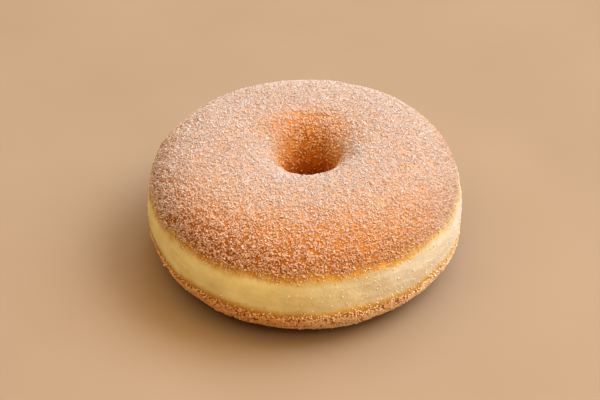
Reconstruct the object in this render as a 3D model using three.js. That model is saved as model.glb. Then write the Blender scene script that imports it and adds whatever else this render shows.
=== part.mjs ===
// A sugared ring doughnut, baked and fried as one piece of dough.
// Units are millimetres, +Z is up, and the doughnut rests on z = 0 with its middle at the origin.
import * as THREE from 'three';

// Overall sizes.
const OUTER_RADIUS = 48;
const HEIGHT = 39;

// The ring's own shape, as radii from the middle of the doughnut and heights above the base.
const HOLE_RADIUS = 5.9;        // the throat, the narrowest place in the hole
const CROWN_RADIUS = 20.5;      // the highest ring on the top
const WAIST_HEIGHT = 17.2;      // the widest place on the side, and the throat's height
const BASE_RADIUS = 20.5;       // the middle of the flat ring that it rests on
const BASE_WIDTH = 16.4;        // from that ring's inner edge to its outer edge

// How square each quarter of the ring's section is: 2 is an ellipse, and more is squarer.
const SHOULDER_FULLNESS = 2.5;  // crown to waist, on the outside
const FUNNEL_FULLNESS = 2.4;    // crown to throat, inside the hole
const UNDERSIDE_FULLNESS = 2.4;

// The rising dough closed in unevenly, so the hole stands a little off the middle.
const HOLE_DRIFT_X = 1.2;
const HOLE_DRIFT_Y = 0.5;

// Fineness of the mesh.
const SIDES = 84;
const SHOULDER_STEPS = 13;
const FUNNEL_STEPS = 12;
const UNDERSIDE_STEPS = 8;

const crust = new THREE.MeshStandardMaterial({ color: 0xcb8a55, roughness: 0.8, metalness: 0 });

// One quarter of a superellipse about (centreR, centreZ). Quarters count anticlockwise from 0, which
// starts on the outside. The last point is left out, because the next quarter starts with it.
function quarter(index, centreR, centreZ, halfWidth, halfHeight, fullness, steps) {
  const points = [];
  for (let step = 0; step < steps; step += 1) {
    const angle = (index + step / steps) * (Math.PI / 2);
    const across = Math.cos(angle);
    const up = Math.sin(angle);
    const size = (Math.abs(across) ** fullness + Math.abs(up) ** fullness) ** (-1 / fullness);
    points.push(new THREE.Vector2(centreR + halfWidth * across * size, centreZ + halfHeight * up * size));
  }
  return points;
}

// The ring's section: shoulder, funnel, underside in the hole, flat base, outer underside.
function ringSection() {
  const rise = HEIGHT - WAIST_HEIGHT;
  const baseInner = BASE_RADIUS - BASE_WIDTH / 2;
  const baseOuter = BASE_RADIUS + BASE_WIDTH / 2;
  const points = [
    ...quarter(0, CROWN_RADIUS, WAIST_HEIGHT, OUTER_RADIUS - CROWN_RADIUS, rise,
      SHOULDER_FULLNESS, SHOULDER_STEPS),
    ...quarter(1, CROWN_RADIUS, WAIST_HEIGHT, CROWN_RADIUS - HOLE_RADIUS, rise,
      FUNNEL_FULLNESS, FUNNEL_STEPS),
    ...quarter(2, baseInner, WAIST_HEIGHT, baseInner - HOLE_RADIUS, WAIST_HEIGHT,
      UNDERSIDE_FULLNESS, UNDERSIDE_STEPS),
    new THREE.Vector2(baseInner, 0),
    ...quarter(3, baseOuter, WAIST_HEIGHT, OUTER_RADIUS - baseOuter, WAIST_HEIGHT,
      UNDERSIDE_FULLNESS, UNDERSIDE_STEPS),
  ];
  points.push(points[0].clone());
  return points;
}

// Slides the hole sideways: all of the drift at the throat, fading to none at the outer edge.
function driftHole(geometry) {
  const position = geometry.attributes.position;
  for (let i = 0; i < position.count; i += 1) {
    const radius = Math.hypot(position.getX(i), position.getY(i));
    const share = (OUTER_RADIUS - radius) / (OUTER_RADIUS - HOLE_RADIUS);
    position.setX(i, position.getX(i) + HOLE_DRIFT_X * share);
    position.setY(i, position.getY(i) + HOLE_DRIFT_Y * share);
  }
  return geometry;
}

function doughnut() {
  const geometry = new THREE.LatheGeometry(ringSection(), SIDES);
  geometry.rotateX(Math.PI / 2);
  driftHole(geometry);
  geometry.computeVertexNormals();
  const mesh = new THREE.Mesh(geometry, crust);
  mesh.name = 'doughnut';
  return mesh;
}

const model = new THREE.Group();
model.add(doughnut());

export default model;
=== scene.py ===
"""Looks of a sugared ring doughnut: one ring of fried dough under a frosting of sugar crystals.

Lengths in this file are millimetres, and MM turns them into Blender's metres. A place on the
dough is (angle, along): the angle about the hole, and the distance along the ring's section,
counted from the waist over the shoulder, down the funnel and back along the underside.
"""
import math

import bpy
import numpy as np
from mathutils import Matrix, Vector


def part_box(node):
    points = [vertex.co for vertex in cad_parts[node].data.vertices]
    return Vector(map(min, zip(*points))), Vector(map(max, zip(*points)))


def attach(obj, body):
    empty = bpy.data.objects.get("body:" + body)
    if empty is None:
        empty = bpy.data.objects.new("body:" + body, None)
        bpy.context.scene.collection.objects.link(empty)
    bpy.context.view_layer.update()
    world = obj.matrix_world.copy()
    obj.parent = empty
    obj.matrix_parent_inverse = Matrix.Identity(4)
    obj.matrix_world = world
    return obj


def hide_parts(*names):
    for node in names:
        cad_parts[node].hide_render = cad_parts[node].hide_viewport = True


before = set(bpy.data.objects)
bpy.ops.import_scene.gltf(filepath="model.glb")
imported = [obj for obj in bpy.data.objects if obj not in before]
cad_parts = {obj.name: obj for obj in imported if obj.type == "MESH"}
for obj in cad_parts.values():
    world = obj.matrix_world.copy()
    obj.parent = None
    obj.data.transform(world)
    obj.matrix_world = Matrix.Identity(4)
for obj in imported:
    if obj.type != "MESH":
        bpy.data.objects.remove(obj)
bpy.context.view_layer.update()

MM = 0.001

# ---- Sizes -------------------------------------------------------------------------------------
box_low, box_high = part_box("doughnut")
OUTER_RADIUS = (box_high.x - box_low.x) / 2 / MM
HEIGHT = (box_high.z - box_low.z) / MM
HOLE_RADIUS = 5.9
CROWN_RADIUS = 20.5
WAIST_HEIGHT = 17.2
BASE_RADIUS = 20.5
BASE_WIDTH = 16.4
SHOULDER_FULLNESS = 2.5
FUNNEL_FULLNESS = 2.4
UNDERSIDE_FULLNESS = 2.4
HOLE_DRIFT = (1.2, 0.5)
SKIN = 0.35                     # the dough stands this far inside, so the sugar reaches the box

BELT_LOW = 14.5                 # heights of the pale belt's edges
BELT_HIGH = 24.7
BELT_INNER = 36                 # the belt fades in between these radii
BELT_OUTER = 41
BELT_DEPTH = 0.32               # how far the belt lies below the crust

DOUGH_SIDES = 440               # fineness of the dough's mesh
DOUGH_ROWS = 220

SUGAR_PER_MM2 = 7.6             # crystals tried for each square millimetre
SUGAR_PIECES = 8
SUGAR_SEED = 7
GRAIN = (0.40, 0.30, 0.24)      # a usual crystal's three sides
GRAIN_RISE = 0.16               # the most that a crystal's middle stands above the skin

# ---- Places on the ring, as directions about the hole in degrees ---------------------------------
SHEEN_SIDE = -22                 # painted sheen: where the belt is painted whitest, toward the key and side lamps; more real sugar dust lies there too
LIT_TINT_SIDE = -20                 # where the sugar is painted yellowest, a painted tint against the lamps' colour on that side
SHADE_SIDE = -155               # where the painted shade on crust and sugar is darkest, the side turned from the key lamp
CAMERA_FACING = (0.0, -0.78, 0.62)  # the painted sheen on the sugar is least facing this way, towards the camera

# ---- Colours, from 0 to 255 on the screen --------------------------------------------------------
WHITE = (255, 255, 255)
CREAM = (255, 241, 178)
# Painted sheen: the belt's colour on the side toward the key and side lamps
CREAM_SHEEN = (224, 205, 181)
FIBRES = (251, 247, 238)
BELT_DUST = (252, 244, 228)
CRUST = ((0.15, (244, 212, 132)), (0.5, (234, 176, 66)), (0.85, (212, 144, 44)),
         (1.0, (180, 106, 22)))
LOW_CRUST = ((0.15, (246, 216, 140)), (0.5, (242, 190, 84)), (1.0, (200, 114, 24)))
PATCHES = ((0.3, (232, 226, 220)), (0.7, WHITE))
HOLE = ((0.3, (156, 80, 12)), (0.7, (184, 108, 26)))
# Painted shade far down the hole
HOLE_SHADE = (150, 68, 8)
SUGAR_VEIL = (174, 152, 136)
# Painted sheen: the sugar is whitest where its surface turns from the camera, and warmer where it
# faces it
SUGAR_SHEEN = ((0.3, (190, 173, 165)), (0.7, (174, 152, 141)))
SUGAR_UNSHEENED = ((0.3, (216, 172, 138)), (0.7, (199, 134, 86)))
SUGAR_FUNNEL = (198, 138, 74)
# Painted shade on the sugar far down the hole
SUGAR_HOLE_SHADE = (176, 104, 40)
SUGAR_LOW = (242, 188, 126)
# Painted sheen: whiter sugar below the belt on the side toward the lamps
SUGAR_LOW_SHEEN = (255, 226, 190)
SUGAR_BELT = (240, 214, 164)
# Painted sheen: whiter sugar on the belt on the side toward the lamps
SUGAR_BELT_SHEEN = (246, 226, 200)
SHADED_DOUGH = (206, 190, 176)  # painted shade on the side turned from the key lamp: what colours are multiplied by where that mask is 1
SHADED_SUGAR = (255, 246, 238)
LIT_TINTED_SUGAR = (255, 240, 220)   # and, for the painted yellow tint on the lit side, where that mask is 1
BACK_LAMP_TINT = (255, 238, 212)     # and, for the painted warm tint against the blue back lamp, dough and sugar alike, where that mask is 1
FLOOR = ((0.3, (142, 117, 92)), (0.7, (146, 121, 96)))
HORIZON = (206, 169, 134)        # what the camera sees past the floor

# ---- Camera and lights ---------------------------------------------------------------------------
CAMERA_ELEVATION = 38.43        # degrees
CAMERA_DISTANCE = 491
CAMERA_LENS = 97.06
CAMERA_TARGET = (-1.49, -0.91, HEIGHT / 2 - 1.14)

LIGHT_DISTANCE = 2.5            # metres
LIGHTS = (                      # name, azimuth, elevation, metres across, watts, colour
    ("key", 12, 50, 1.6, 88, (0.60, 0.78, 1.0)),
    ("side", -25, 42, 1.6, 24, (1.0, 0.83, 0.54)),
    ("front", -95, 44, 1.6, 10, (1.0, 0.62, 0.36)),
    ("back", 60, 60, 1.6, 38, (0.28, 0.54, 1.0)),
    ("overhead", 0, 90, 5.0, 148, (1.0, 0.77, 0.42)),
)
WORLD_LIGHT = (0.02, 0.016, 0.01, 1.0)
FLOOR_REACH = 2500.0


# ---- Smooth random unevenness ------------------------------------------------------------------
def noise(points, size, seed):
    """Smooth noise from -1 to 1 at an array of points, with bumps about size wide."""
    turned = points @ NOISE_TURN
    grid = turned / size + 31.7 * seed
    cell = np.floor(grid).astype(np.int64)
    part = grid - cell
    part = part * part * (3 - 2 * part)
    total = 0.0
    for corner in np.ndindex(2, 2, 2):
        key = (cell + corner) @ np.array([73856093, 19349663, 83492791]) + seed * 7919
        key = (key ^ (key >> 13)) * 1274126177 & 0xFFFFFFFF
        value = ((key ^ (key >> 16)) & 0xFFFF) / 32767.5 - 1
        total = total + value * np.prod(np.where(corner, part, 1 - part), axis=-1)
    return total


def turn_matrix(a, b):
    """A rotation that keeps the noise's grid from lining up with the object."""
    turn_z = np.array([[math.cos(a), -math.sin(a), 0], [math.sin(a), math.cos(a), 0], [0, 0, 1]])
    turn_x = np.array([[1, 0, 0], [0, math.cos(b), -math.sin(b)], [0, math.sin(b), math.cos(b)]])
    return turn_z @ turn_x


NOISE_TURN = turn_matrix(0.61, 0.83)


def ease(value, low, high):
    """0 below low, 1 above high and smooth between."""
    share = np.clip((value - low) / (high - low), 0, 1)
    return share * share * (3 - 2 * share)


# ---- The dough's surface -----------------------------------------------------------------------
def quarter(index, centre, half_width, half_height, fullness, steps=60):
    """One quarter of a superellipse about centre, without its last point, as rows of (r, z)."""
    angle = (index + np.arange(steps) / steps) * math.pi / 2
    across, up = np.cos(angle), np.sin(angle)
    size = (abs(across) ** fullness + abs(up) ** fullness) ** (-1 / fullness)
    return np.stack([centre[0] + half_width * across * size,
                     centre[1] + half_height * up * size], axis=1)


def ring_section():
    """The ring's section as a closed line: distances along it, radii and heights."""
    rise = HEIGHT - SKIN - WAIST_HEIGHT
    drop = WAIST_HEIGHT - SKIN
    outer, throat = OUTER_RADIUS - SKIN, HOLE_RADIUS + SKIN
    base_inner = BASE_RADIUS - BASE_WIDTH / 2
    base_outer = BASE_RADIUS + BASE_WIDTH / 2
    crown = (CROWN_RADIUS, WAIST_HEIGHT)
    line = np.concatenate([
        quarter(0, crown, outer - CROWN_RADIUS, rise, SHOULDER_FULLNESS),
        quarter(1, crown, CROWN_RADIUS - throat, rise, FUNNEL_FULLNESS),
        quarter(2, (base_inner, WAIST_HEIGHT), base_inner - throat, drop, UNDERSIDE_FULLNESS),
        quarter(3, (base_outer, WAIST_HEIGHT), outer - base_outer, drop, UNDERSIDE_FULLNESS),
    ])
    line = np.concatenate([line, line[:1]])
    along = np.concatenate([[0], np.cumsum(np.hypot(*np.diff(line, axis=0).T))])
    return along, line[:, 0], line[:, 1]


ALONG, RADII, HEIGHTS = ring_section()
SECTION_LENGTH = ALONG[-1]


def section_at(along):
    """Radius, height, and the outward direction's two parts, at distances along the section."""
    step = 0.4
    def place(value):
        value = np.mod(value, SECTION_LENGTH)
        return np.interp(value, ALONG, RADII), np.interp(value, ALONG, HEIGHTS)
    r, z = place(along)
    r_after, z_after = place(along + step)
    r_before, z_before = place(along - step)
    out_r, out_z = z_after - z_before, r_before - r_after
    size = np.hypot(out_r, out_z)
    return r, z, out_r / size, out_z / size


def painted_sheen(out):
    """How white the sugar is painted, a painted sheen: least where the surface faces the camera,
    less again where it faces down, and up to 1 elsewhere."""
    facing = out @ np.array(CAMERA_FACING)
    under = ease(-out[..., 2], -0.2, 0.3)
    return (1 - ease(facing, 0.5, 1.0)) * (1 - 0.7 * under)


def surface(angle, along):
    """The dough at an array of places: points, outward directions and what the skin is like there.

    The last result is a dict of arrays from 0 to 1. Each is 1 at the place it names:
    brown, the fried crust, and 0 on the cream belt; away, well away from the belt; funnel, in the
    hole, and deep, far down it, where painted shade darkens the colours; sheen_and_dust, on the
    belt's side toward the lamps, where painted sheen whitens the belt and more real sugar dust
    lies; side_shade, on the side turned from the key lamp, where painted shade darkens crust and
    sugar; grazing_sheen, the painted sheen that whitens the sugar where the surface turns from the
    camera; low, below the belt;
    lit_tint, where the sugar is painted yellower against the lamps' colour; and back_tint, on the
    sides that face back, where a painted warm tint offsets the blue back lamp."""
    r, z, out_r, out_z = section_at(along)
    cos, sin = np.cos(angle), np.sin(angle)
    smooth = np.stack([r * cos, r * sin, z], axis=-1)
    out = np.stack([out_r * cos, out_r * sin, out_z], axis=-1)

    outside = ease(r, BELT_INNER, BELT_OUTER)
    tilt = 0.5 * np.cos(angle + math.radians(50))
    ragged = 0.5 * noise(smooth, 7, 2) + 0.5 * noise(smooth, 2.6, 3) + 0.3 * noise(smooth, 1.1, 14)
    upper = z - BELT_HIGH - tilt - ragged
    lower = BELT_LOW - 0.5 * ragged + 0.4 * noise(smooth, 5, 15) - z
    fried = np.maximum(ease(upper, -2.5, 3.8), ease(lower, -2.2, 4.0))
    sugared = np.maximum(ease(upper, -0.8, 4.2), ease(lower, 0.3, 4.8))
    brown = 1 - outside * (1 - fried)
    away = 1 - outside * (1 - sugared)
    funnel = ease(CROWN_RADIUS - r, 6.5, 13.5)
    deep = funnel * ease(34 - z, 0, 12)

    swell = 0.45 * noise(smooth, 26, 4) + 0.22 * noise(smooth, 11, 5)
    crust = 0.16 * noise(smooth, 4.2, 6) + 0.11 * noise(smooth, 1.9, 7)
    crust = crust + 0.07 * noise(smooth, 1.1, 8)
    streaks = np.stack([6 * cos, 6 * sin, z], axis=-1)
    belt = 0.07 * noise(streaks, 1.3, 9) + 0.09 * noise(smooth, 3.0, 10)
    folds = np.stack([5 * cos, 5 * sin, 0.12 * z], axis=-1)
    creases = 0.55 * noise(folds, 2.1, 11) + 0.25 * noise(folds, 0.9, 12)
    lift = swell + brown * crust + (1 - brown) * (belt - BELT_DEPTH) + funnel * creases
    resting = ease(3.5 - z, 0, 3.2)
    lift = lift * (1 - resting)

    points = smooth + out * lift[..., None]
    share = (OUTER_RADIUS - r) / (OUTER_RADIUS - HOLE_RADIUS)
    points[..., 0] += HOLE_DRIFT[0] * share
    points[..., 1] += HOLE_DRIFT[1] * share
    # Painted sheen on the belt's side toward the lamps; the same mask also sets more real sugar
    # dust there
    sheen_and_dust = ease(np.cos(angle - math.radians(SHEEN_SIDE)) + 0.3 * noise(smooth, 18, 13), 0.1, 1.0)
    low = ease(BELT_LOW + 2 - z, 0, 5)
    outward = ease(out_r, 0.3, 0.9)
    # Painted shade: darker crust on the side turned from the key lamp
    side_shade = brown * ease(np.cos(angle - math.radians(SHADE_SIDE)), 0.0, 1.0) * outward
    # Painted light tint: sugar painted yellower on the side toward the lamps, against their colour
    lit_tint = ease(np.cos(angle - math.radians(LIT_TINT_SIDE)), 0.0, 1.0) * outward
    # Painted light tint: back-facing sides painted warmer against the blue back lamp
    back_tint = ease(np.sin(angle), -0.1, 0.7) * ease(out_r, 0.5, 0.85)
    # Painted sheen: sugar painted whitest where the surface turns from the camera
    grazing_sheen = painted_sheen(out)
    return points, out, {"brown": brown, "away": away, "funnel": funnel, "deep": deep,
                         "sheen_and_dust": sheen_and_dust, "side_shade": side_shade, "grazing_sheen": grazing_sheen, "low": low,
                         "lit_tint": lit_tint, "back_tint": back_tint}


# ---- Materials ---------------------------------------------------------------------------------
class Nodes:
    """Short ways to add nodes to one material."""

    def __init__(self, name):
        self.material = bpy.data.materials.new(name)
        self.material.use_nodes = True
        self.tree = self.material.node_tree
        self.shader = self.tree.nodes["Principled BSDF"]

    def add(self, kind, values=None, **settings):
        node = self.tree.nodes.new(kind)
        for key, value in settings.items():
            setattr(node, key, value)
        for key, value in (values or {}).items():
            self.put(value, node.inputs[key])
        return node

    def put(self, value, socket):
        if isinstance(value, bpy.types.NodeSocket):
            self.tree.links.new(value, socket)
        else:
            socket.default_value = value

    def place(self):
        return self.add("ShaderNodeTexCoord").outputs["Object"]

    def attribute(self, name):
        return self.add("ShaderNodeAttribute", attribute_name=name).outputs["Fac"]

    def away_from_hole(self):
        return self.maths("SUBTRACT", 1.0, self.attribute("funnel"))

    def noise(self, size, detail=3.0, roughness=0.55, vector=None):
        """Noise from 0 to 1 with bumps about size millimetres wide."""
        values = {"Vector": vector or self.place(), "Scale": 1 / (size * MM), "Detail": detail,
                  "Roughness": roughness}
        return self.add("ShaderNodeTexNoise", values).outputs["Fac"]

    def maths(self, operation, first, second=0.0, third=0.0, clamp=False):
        node = self.add("ShaderNodeMath", operation=operation, use_clamp=clamp)
        for socket, value in zip(node.inputs, (first, second, third)):
            self.put(value, socket)
        return node.outputs[0]

    def span(self, value, low, high, to_low=0.0, to_high=1.0):
        """value carried smoothly from low..high to to_low..to_high."""
        values = {"Value": value, "From Min": low, "From Max": high, "To Min": to_low,
                  "To Max": to_high}
        node = self.add("ShaderNodeMapRange", values, interpolation_type="SMOOTHSTEP")
        return node.outputs["Result"]

    def mix(self, share, first, second, blend="MIX"):
        node = self.add("ShaderNodeMix", data_type="RGBA", blend_type=blend)
        self.put(share, node.inputs[0])
        self.put(first, node.inputs[6])
        self.put(second, node.inputs[7])
        return node.outputs[2]

    def ramp(self, share, *stops):
        """A colour ramp through (place, screen colour) stops."""
        node = self.add("ShaderNodeValToRGB", {"Fac": share})
        elements = node.color_ramp.elements
        while len(elements) < len(stops):
            elements.new(0.5)
        for element, (place, colour) in zip(elements, stops):
            element.position = place
            element.color = srgb(*colour)
        return node.outputs["Color"]

    def bump(self, height, distance, strength=1.0, normal=None):
        values = {"Height": height, "Distance": distance * MM, "Strength": strength}
        if normal is not None:
            values["Normal"] = normal
        return self.add("ShaderNodeBump", values).outputs["Normal"]


def srgb(red, green, blue):
    """A colour given as 0 to 255 on the screen, as the shader wants it."""
    def linear(value):
        value = value / 255
        return value / 12.92 if value <= 0.04045 else ((value + 0.055) / 1.055) ** 2.4
    return (linear(red), linear(green), linear(blue), 1.0)


def dough_material():
    """Golden-brown crust with a dusting of fine sugar, which fades to a cream belt, with painted
    sheen, painted shade and a painted tint against the back lamp laid on by place.
    """
    n = Nodes("dough")
    ragged = n.noise(0.8, 4.0, 0.7)
    edge = n.maths("ADD", n.attribute("brown"), n.maths("MULTIPLY_ADD", ragged, 0.9, -0.45))
    # Painted sheen: the cream belt is painted whiter on the side toward the lamps
    cream = n.mix(n.attribute("sheen_and_dust"), srgb(*CREAM), srgb(*CREAM_SHEEN))
    stretched = n.add("ShaderNodeVectorMath", {0: n.place(), 1: (0.12, 0.12, 1.0)},
                      operation="MULTIPLY").outputs["Vector"]
    fibres = n.ramp(n.noise(1.6, 3.0, 0.6, stretched), (0.3, FIBRES), (0.6, WHITE))
    cream = n.mix(1.0, cream, fibres, "MULTIPLY")
    crust = n.mix(n.attribute("low"), n.ramp(edge, *CRUST), n.ramp(edge, *LOW_CRUST))
    dust = n.span(n.noise(0.4, 3.0, 0.7), 0.5, 0.68, 0.0, 0.3)
    dust = n.maths("MULTIPLY", dust, n.maths("MULTIPLY_ADD", n.attribute("sheen_and_dust"), 0.8, 0.2))
    cream = n.mix(dust, cream, srgb(*BELT_DUST))
    skin = n.mix(n.span(edge, 0.0, 0.5), cream, crust)
    skin = n.mix(1.0, skin, n.ramp(n.noise(9.0, 3.0), *PATCHES), "MULTIPLY")
    # Painted shade: the crust darkens far down the hole
    hole = n.mix(n.attribute("deep"), n.ramp(n.noise(2.2, 3.0), *HOLE), srgb(*HOLE_SHADE))
    skin = n.mix(n.attribute("funnel"), skin, hole)
    # Fine sugar veil, laid on most where the painted sheen is strongest and taken away on the side
    # turned from the key lamp as painted shade
    veil = n.span(n.noise(0.6, 3.0, 0.7), 0.4, 0.6, 0.5, 0.85)
    veil = n.maths("MULTIPLY", veil, n.attribute("grazing_sheen"))
    veil = n.maths("MULTIPLY", veil, n.maths("SUBTRACT", 1.0, n.attribute("side_shade")))
    veil = n.maths("MULTIPLY", veil, n.maths("MULTIPLY", n.attribute("brown"), n.away_from_hole()))
    skin = n.mix(veil, skin, srgb(*SUGAR_VEIL))
    # Painted shade: the crust is darkened on the side turned from the key lamp
    skin = n.mix(n.attribute("side_shade"), skin, srgb(*SHADED_DOUGH), "MULTIPLY")
    # Painted light tint: warmer crust on the back-facing sides, against the blue back lamp
    back_tint = n.maths("MULTIPLY", n.attribute("back_tint"), n.attribute("brown"))
    skin = n.mix(back_tint, skin, srgb(*BACK_LAMP_TINT), "MULTIPLY")
    n.put(skin, n.shader.inputs["Base Color"])
    n.put(n.span(ragged, 0.3, 0.7, 0.55, 0.75), n.shader.inputs["Roughness"])
    crumbs = n.bump(n.noise(0.45, 3.0, 0.6), 0.12, 0.6)
    n.put(n.bump(n.noise(1.5, 3.0, 0.6), 0.25, 0.5, crumbs), n.shader.inputs["Normal"])
    n.shader.inputs["Specular IOR Level"].default_value = 0.2
    n.shader.inputs["Subsurface Weight"].default_value = 0.25
    n.shader.inputs["Subsurface Radius"].default_value = (1.0, 0.45, 0.2)
    n.shader.inputs["Subsurface Scale"].default_value = 1.6 * MM
    return n.material


def sugar_material():
    """Clear-white crystals that take a little of the crust's warmth, with painted sheen, painted
    shade and painted tints against the lamps laid on by place.
    """
    n = Nodes("sugar")
    uneven = n.noise(0.8, 2.0)
    # Painted sheen: whiter sugar where the surface turns from the camera, mixed with each grain's
    # random tone
    share = n.maths("MULTIPLY_ADD", n.attribute("grazing_sheen"), 0.75, -0.1)
    share = n.maths("MULTIPLY_ADD", n.attribute("shade"), 0.5, share, clamp=True)
    tint = n.mix(share, n.ramp(uneven, *SUGAR_UNSHEENED), n.ramp(uneven, *SUGAR_SHEEN))
    tint = n.mix(n.attribute("funnel"), tint, srgb(*SUGAR_FUNNEL))
    # Painted shade: the sugar darkens far down the hole
    tint = n.mix(n.attribute("deep"), tint, srgb(*SUGAR_HOLE_SHADE))
    # Painted sheen: sugar below the belt is whiter on the side toward the lamps
    low = n.mix(n.attribute("sheen_and_dust"), srgb(*SUGAR_LOW), srgb(*SUGAR_LOW_SHEEN))
    tint = n.mix(n.attribute("low"), tint, low)
    # Painted sheen: sugar on the belt is whiter on the side toward the lamps
    dust = n.mix(n.attribute("sheen_and_dust"), srgb(*SUGAR_BELT), srgb(*SUGAR_BELT_SHEEN))
    tint = n.mix(n.attribute("brown"), dust, tint)
    # Painted shade: the sugar is darkened on the side turned from the key lamp
    tint = n.mix(n.attribute("side_shade"), tint, srgb(*SHADED_SUGAR), "MULTIPLY")
    # Painted light tint: the sugar is yellowed on the side toward the lamps
    tint = n.mix(n.attribute("lit_tint"), tint, srgb(*LIT_TINTED_SUGAR), "MULTIPLY")
    # Painted light tint: warmer sugar on the back-facing sides, against the blue back lamp
    tint = n.mix(n.attribute("back_tint"), tint, srgb(*BACK_LAMP_TINT), "MULTIPLY")
    n.put(tint, n.shader.inputs["Base Color"])
    n.put(n.span(n.noise(0.5, 2.0), 0.3, 0.7, 0.35, 0.55), n.shader.inputs["Roughness"])
    n.shader.inputs["Specular IOR Level"].default_value = 0.3
    n.shader.inputs["Subsurface Weight"].default_value = 0.35
    n.shader.inputs["Subsurface Radius"].default_value = (1.0, 0.8, 0.7)
    n.shader.inputs["Subsurface Scale"].default_value = 0.3 * MM
    return n.material


def floor_material():
    n = Nodes("backdrop")
    n.put(n.ramp(n.noise(60.0, 2.0), *FLOOR), n.shader.inputs["Base Color"])
    n.put(0.9, n.shader.inputs["Roughness"])
    n.put(0.1, n.shader.inputs["Specular IOR Level"])
    return n.material


# ---- Pieces ------------------------------------------------------------------------------------
def new_mesh(name, points, faces, material, smooth):
    """An object from arrays: points in millimetres, and faces that all have as many corners."""
    mesh = bpy.data.meshes.new(name)
    corners = faces.shape[1]
    mesh.vertices.add(len(points))
    mesh.vertices.foreach_set("co", (points * MM).ravel())
    mesh.loops.add(faces.size)
    mesh.loops.foreach_set("vertex_index", faces.ravel())
    mesh.polygons.add(len(faces))
    mesh.polygons.foreach_set("loop_start", np.arange(len(faces)) * corners)
    mesh.polygons.foreach_set("use_smooth", np.full(len(faces), smooth))
    mesh.update(calc_edges=True)
    mesh.validate()
    mesh.materials.append(material)
    piece = bpy.data.objects.new(name, mesh)
    bpy.context.scene.collection.objects.link(piece)
    return piece


def add_map(piece, angle, along):
    """The bake's UV map, laid out by place on the dough, from one angle and distance a corner."""
    layer = piece.data.uv_layers.new(name="OFBake")
    spots = np.stack([angle / (2 * math.pi), along / SECTION_LENGTH], axis=1)
    layer.data.foreach_set("uv", (0.01 + 0.98 * spots).ravel())


def make_dough(material):
    """The ring of dough, a closed grid of quads."""
    sides, rows = DOUGH_SIDES, DOUGH_ROWS
    angle = np.arange(sides) / sides * 2 * math.pi
    along = np.arange(rows) / rows * SECTION_LENGTH
    angles, alongs = np.meshgrid(angle, along, indexing="ij")
    points, out, skin = surface(angles, alongs)
    numbers = np.meshgrid(np.arange(sides), np.arange(rows), indexing="ij")
    side, row = [grid.ravel() for grid in numbers]
    next_side, next_row = (side + 1) % sides, (row + 1) % rows
    faces = np.stack([side * rows + row, next_side * rows + row,
                      next_side * rows + next_row, side * rows + next_row], axis=1)
    piece = new_mesh("dough", points.reshape(-1, 3), faces, material, True)
    for name, values in skin.items():
        layer = piece.data.attributes.new(name, "FLOAT", "POINT")
        layer.data.foreach_set("value", values.ravel().astype(np.float32))
    corner_side = np.stack([side, side + 1, side + 1, side], axis=1) / sides
    corner_row = np.stack([row, row, row + 1, row + 1], axis=1) / rows
    add_map(piece, corner_side.ravel() * 2 * math.pi, corner_row.ravel() * SECTION_LENGTH)
    return piece


def sugar_cover(points, skin):
    """How much of the full sugar lies at each place, from 0 to 1."""
    cover = 0.9 * (1 + 0.2 * noise(points, 4, 23)) * (1 - 0.5 * skin["funnel"])
    cover = cover * (1 - 0.93 * skin["deep"])
    dusted = 0.008 + 0.08 * skin["sheen_and_dust"]
    return np.clip(cover * (dusted + (1 - dusted) * skin["away"]), 0, 1)


def clumps(points):
    """The sugar's gathering into small clumps, from 0 in a gap to 1 in a clump."""
    return ease(noise(points, 1.5, 21) + 0.7 * noise(points, 0.8, 22), -0.7, 0.5)


def scatter(count, rng):
    """Even random places over the dough, as angles and distances along the section."""
    along = rng.uniform(0, SECTION_LENGTH, count * 2)
    keep = rng.uniform(0, OUTER_RADIUS, count * 2) < np.interp(along, ALONG, RADII)
    along = along[keep]
    return rng.uniform(0, 2 * math.pi, len(along)), along


def crystal_shape():
    """A crystal's eight corners and twelve faces: a box with one pair of sides leaning."""
    corners = np.array([[x + 0.25 * z, y, z] for z in (-0.5, 0.5) for y in (-0.5, 0.5)
                        for x in (-0.5, 0.5)])
    quads = np.array([[0, 2, 3, 1], [4, 5, 7, 6], [0, 1, 5, 4], [2, 6, 7, 3], [0, 4, 6, 2],
                      [1, 3, 7, 5]])
    faces = np.concatenate([quads[:, [0, 1, 2]], quads[:, [0, 2, 3]]])
    return corners, faces


def random_turns(count, rng):
    """Random rotation matrices."""
    q = rng.normal(size=(count, 4))
    w, x, y, z = (q / np.linalg.norm(q, axis=1)[:, None]).T
    rows = [[1 - 2 * (y * y + z * z), 2 * (x * y - z * w), 2 * (x * z + y * w)],
            [2 * (x * y + z * w), 1 - 2 * (x * x + z * z), 2 * (y * z - x * w)],
            [2 * (x * z - y * w), 2 * (y * z + x * w), 1 - 2 * (x * x + y * y)]]
    return np.array(rows).transpose(2, 0, 1)


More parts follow.
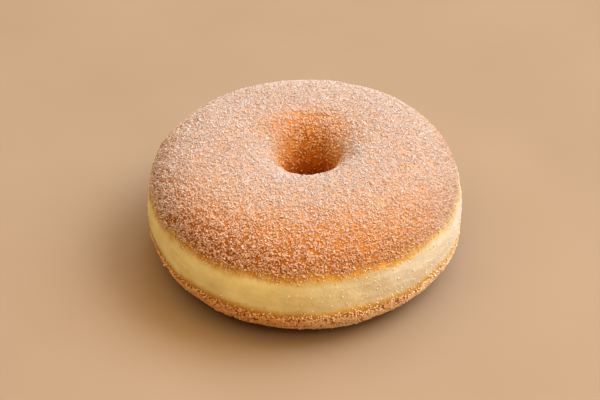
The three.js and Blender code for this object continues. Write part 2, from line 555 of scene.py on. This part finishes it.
def make_sugar(material):
    """The sugar crystals, as pieces that each hold one slice of the ring."""
    rng = np.random.default_rng(SUGAR_SEED)
    area = math.pi * np.sum((RADII[1:] + RADII[:-1]) * np.diff(ALONG))
    angle, along = scatter(int(area * SUGAR_PER_MM2), rng)
    points, out, skin = surface(angle, along)
    cover = sugar_cover(points, skin)
    cover = cover * (0.4 + 0.8 * clumps(points))
    keep = np.flatnonzero(rng.uniform(size=len(angle)) < cover)
    keep = keep[np.argsort(angle[keep])]
    angle, along, points, out = [values[keep] for values in (angle, along, points, out)]
    count = len(angle)
    skin = {name: values[keep] for name, values in skin.items()}
    skin["shade"] = rng.uniform(size=count)
    corners, faces = crystal_shape()
    size = np.exp(rng.normal(0, 0.25, (count, 1, 1))) * rng.uniform(0.85, 1.15, (count, 8, 1))
    size = size * np.array(GRAIN) * (0.6 + 0.4 * skin["brown"][:, None, None])
    local = np.einsum("gij,gcj->gci", random_turns(count, rng), corners * size)
    rise = rng.uniform(0.0, GRAIN_RISE, (count, 1)) * (1 - 0.5 * skin["grazing_sheen"][:, None])
    grains = local + (points + out * rise)[:, None]
    grains[..., 2] = np.maximum(grains[..., 2], 0.0)
    pieces = []
    for number, part in enumerate(np.array_split(np.arange(count), SUGAR_PIECES)):
        part_faces = (faces[None] + 8 * np.arange(len(part))[:, None, None]).reshape(-1, 3)
        name = f"sugar_{number + 1}"
        piece = new_mesh(name, grains[part].reshape(-1, 3), part_faces, material, False)
        for quality, values in skin.items():
            layer = piece.data.attributes.new(quality, "FLOAT", "POINT")
            layer.data.foreach_set("value", np.repeat(values[part], 8).astype(np.float32))
        spot = np.repeat(part, 36)
        add_map(piece, angle[spot], along[spot])
        pieces.append(piece)
    return pieces


# ---- Camera, light and floor -------------------------------------------------------------------
def aim(thing, place, target):
    """Puts a camera or light at place and turns it to look at target."""
    thing.location = place
    direction = (target[0] - place[0], target[1] - place[1], target[2] - place[2])
    flat = math.hypot(direction[0], direction[1])
    turn = math.atan2(-direction[0], direction[1])
    thing.rotation_euler = (math.atan2(flat, -direction[2]), 0, turn)


def make_camera():
    elevation = math.radians(CAMERA_ELEVATION)
    distance = CAMERA_DISTANCE * MM
    data = bpy.data.cameras.new("camera")
    data.lens = CAMERA_LENS
    data.clip_start = 0.01
    camera = bpy.data.objects.new("camera", data)
    bpy.context.scene.collection.objects.link(camera)
    target = [value * MM for value in CAMERA_TARGET]
    place = (target[0], target[1] - distance * math.cos(elevation),
             target[2] + distance * math.sin(elevation))
    aim(camera, place, target)
    bpy.context.scene.camera = camera


def make_light(name, azimuth, elevation, size, power, colour):
    """A round soft light, LIGHT_DISTANCE from the doughnut and turned towards it."""
    data = bpy.data.lights.new(name, "AREA")
    data.shape = "DISK"
    data.size = size
    data.energy = power
    data.color = colour
    light = bpy.data.objects.new(name, data)
    bpy.context.scene.collection.objects.link(light)
    across, up = math.radians(azimuth), math.radians(elevation)
    place = (LIGHT_DISTANCE * math.cos(up) * math.cos(across),
             LIGHT_DISTANCE * math.cos(up) * math.sin(across), LIGHT_DISTANCE * math.sin(up))
    aim(light, place, (0, 0, HEIGHT / 2 * MM))


def make_studio():
    for light in LIGHTS:
        make_light(*light)
    make_world()
    bpy.context.scene.view_settings.view_transform = "Standard"
    bpy.context.scene.view_settings.look = "None"
    far = FLOOR_REACH
    corners = np.array([[-far, -far, 0], [far, -far, 0], [far, far, 0], [-far, far, 0]])
    floor = new_mesh("floor", corners, np.array([[0, 1, 2, 3]]), floor_material(), False)


def make_world():
    """A faint warm light all round; the camera itself sees HORIZON past the floor."""
    world = bpy.data.worlds.new("studio")
    world.use_nodes = True
    nodes, links = world.node_tree.nodes, world.node_tree.links
    seen = nodes.new("ShaderNodeMix")
    seen.data_type = "RGBA"
    seen.inputs[6].default_value = WORLD_LIGHT
    seen.inputs[7].default_value = srgb(*HORIZON)
    links.new(nodes.new("ShaderNodeLightPath").outputs["Is Camera Ray"], seen.inputs[0])
    links.new(seen.outputs[2], nodes["Background"].inputs["Color"])
    bpy.context.scene.world = world


# ---- Putting it together -----------------------------------------------------------------------
make_camera()
make_studio()
dough = make_dough(dough_material())
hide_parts("doughnut")
for piece in [dough, *make_sugar(sugar_material())]:
    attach(piece, "root")
